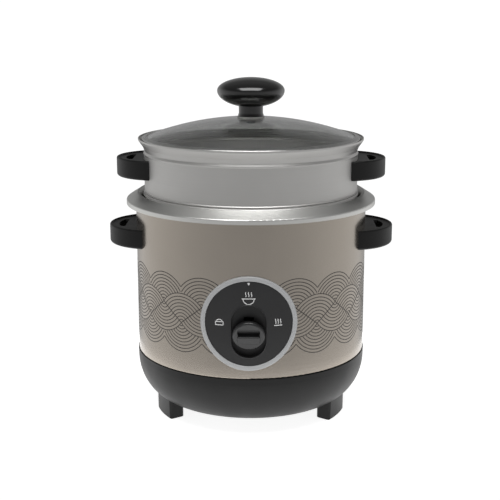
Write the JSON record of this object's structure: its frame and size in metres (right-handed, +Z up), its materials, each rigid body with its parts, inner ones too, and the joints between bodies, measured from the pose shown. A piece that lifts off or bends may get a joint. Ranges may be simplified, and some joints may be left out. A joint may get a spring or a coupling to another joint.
{
  "type": "rice cooker",
  "caption": "Round electric rice cooker: metal shell on a black footed base, lift-out pot, steamer tier with side handles, glass lid, and a round panel with a rocking cook key.",
  "frame": {"origin": "on the floor, under the middle of the body", "axes": "+Z up, the switch panel faces -Y, the handles lie along X"},
  "size_m": [0.2798, 0.2442, 0.3293],
  "materials": {
    "satin_steel": "satin brushed stainless steel skin",
    "rim_steel": "satin rolled rim of the pot",
    "steamer_steel": "satin drawn sheet",
    "black_plastic": "satin moulded plastic",
    "panel_black": "smooth moulded plastic",
    "panel_grey": "silver-grey moulded plastic",
    "knob_black": "glossy moulded plastic",
    "clear_glass": "clear tempered glass",
    "lid_steel": "polished rolled ring",
    "zinc_steel": "zinc-plated screws, nuts and brackets",
    "cast_aluminium": "die-cast, machined on top",
    "sheet_aluminium": "plain sheet",
    "spring_steel": "drawn wire",
    "brass": "stamped contacts",
    "ferrite": "sintered ferrite",
    "white_sleeve": "heat-proof insulator",
    "silicone": "soft washer"
  },
  "bodies": {
    "cooker": {"base": "black_plastic", "foot_front_left": "black_plastic", "foot_front_right": "black_plastic", "foot_rear_left": "black_plastic", "foot_rear_right": "black_plastic", "foot_screws": "zinc_steel", "base_screws": "zinc_steel", "base_nuts": "zinc_steel", "outer_shell": "satin_steel", "inner_liner": "sheet_aluminium", "heating_plate": "cast_aluminium", "heating_element": "spring_steel", "element_terminals": "brass", "plate_spacers": "zinc_steel", "plate_screws": "zinc_steel", "sensor_spring": "spring_steel", "magnet_spring": "spring_steel", "guide_bracket": "zinc_steel", "panel_ring": "panel_grey", "panel_face": "panel_black", "lever_pin": "zinc_steel", "switch_bracket": "zinc_steel", "bracket_rivets": "zinc_steel", "switch_contacts": "white_sleeve", "inlet_housing": "black_plastic", "inlet_pins": "brass", "thermal_fuse": "white_sleeve", "fuse_clip": "zinc_steel", "body_handle_right": "black_plastic", "body_handle_left": "black_plastic", "body_handle_screws": "zinc_steel"},
    "inner_pot": {"inner_pot": "rim_steel"},
    "steamer": {"steamer_basket": "steamer_steel", "steamer_handle_left": "black_plastic", "steamer_handle_right": "black_plastic", "steamer_handle_screws": "zinc_steel"},
    "lid": {"lid_glass": "clear_glass", "lid_rim": "lid_steel", "steam_vent": "lid_steel", "lid_knob": "knob_black", "knob_washer": "silicone", "inner_washer": "silicone", "knob_screw": "zinc_steel"},
    "switch_lever": {"switch_lever": "panel_black"},
    "magnet": {"magnet": "ferrite", "magnet_holder": "zinc_steel", "lift_bar": "zinc_steel"},
    "sensor": {"sensor_cap": "sheet_aluminium", "sensor_ferrite": "ferrite"}
  },
  "joints": [
    {"name": "pot_lift", "type": "slide", "parent": "cooker", "child": "inner_pot", "axis": [0, 0, 1], "range_m": [0, 0.1]},
    {"name": "steamer_lift", "type": "slide", "parent": "inner_pot", "child": "steamer", "axis": [0, 0, 1], "range_m": [0, 0.05]},
    {"name": "lid_lift", "type": "slide", "parent": "steamer", "child": "lid", "axis": [0, 0, 1], "range_m": [0, 0.05]},
    {"name": "lever_rock", "type": "hinge", "parent": "cooker", "child": "switch_lever", "pos_m": [0, -0.086, 0.11], "axis": [-1, 0, 0], "range_deg": [0, 26]},
    {"name": "magnet_drop", "type": "slide", "parent": "cooker", "child": "magnet", "axis": [0, 0, 1], "range_m": [-0.0073, 0], "deforming": ["magnet_spring"]},
    {"name": "sensor_rise", "type": "slide", "parent": "cooker", "child": "sensor", "axis": [0, 0, 1], "range_m": [0, 0.0026], "deforming": ["sensor_spring"]}
  ],
  "couplings": [
    {"joint": "magnet_drop", "follows": "lever_rock", "m_per_rad": -0.015863},
    {"joint": "sensor_rise", "follows": "pot_lift", "ratio": 0.025}
  ]
}
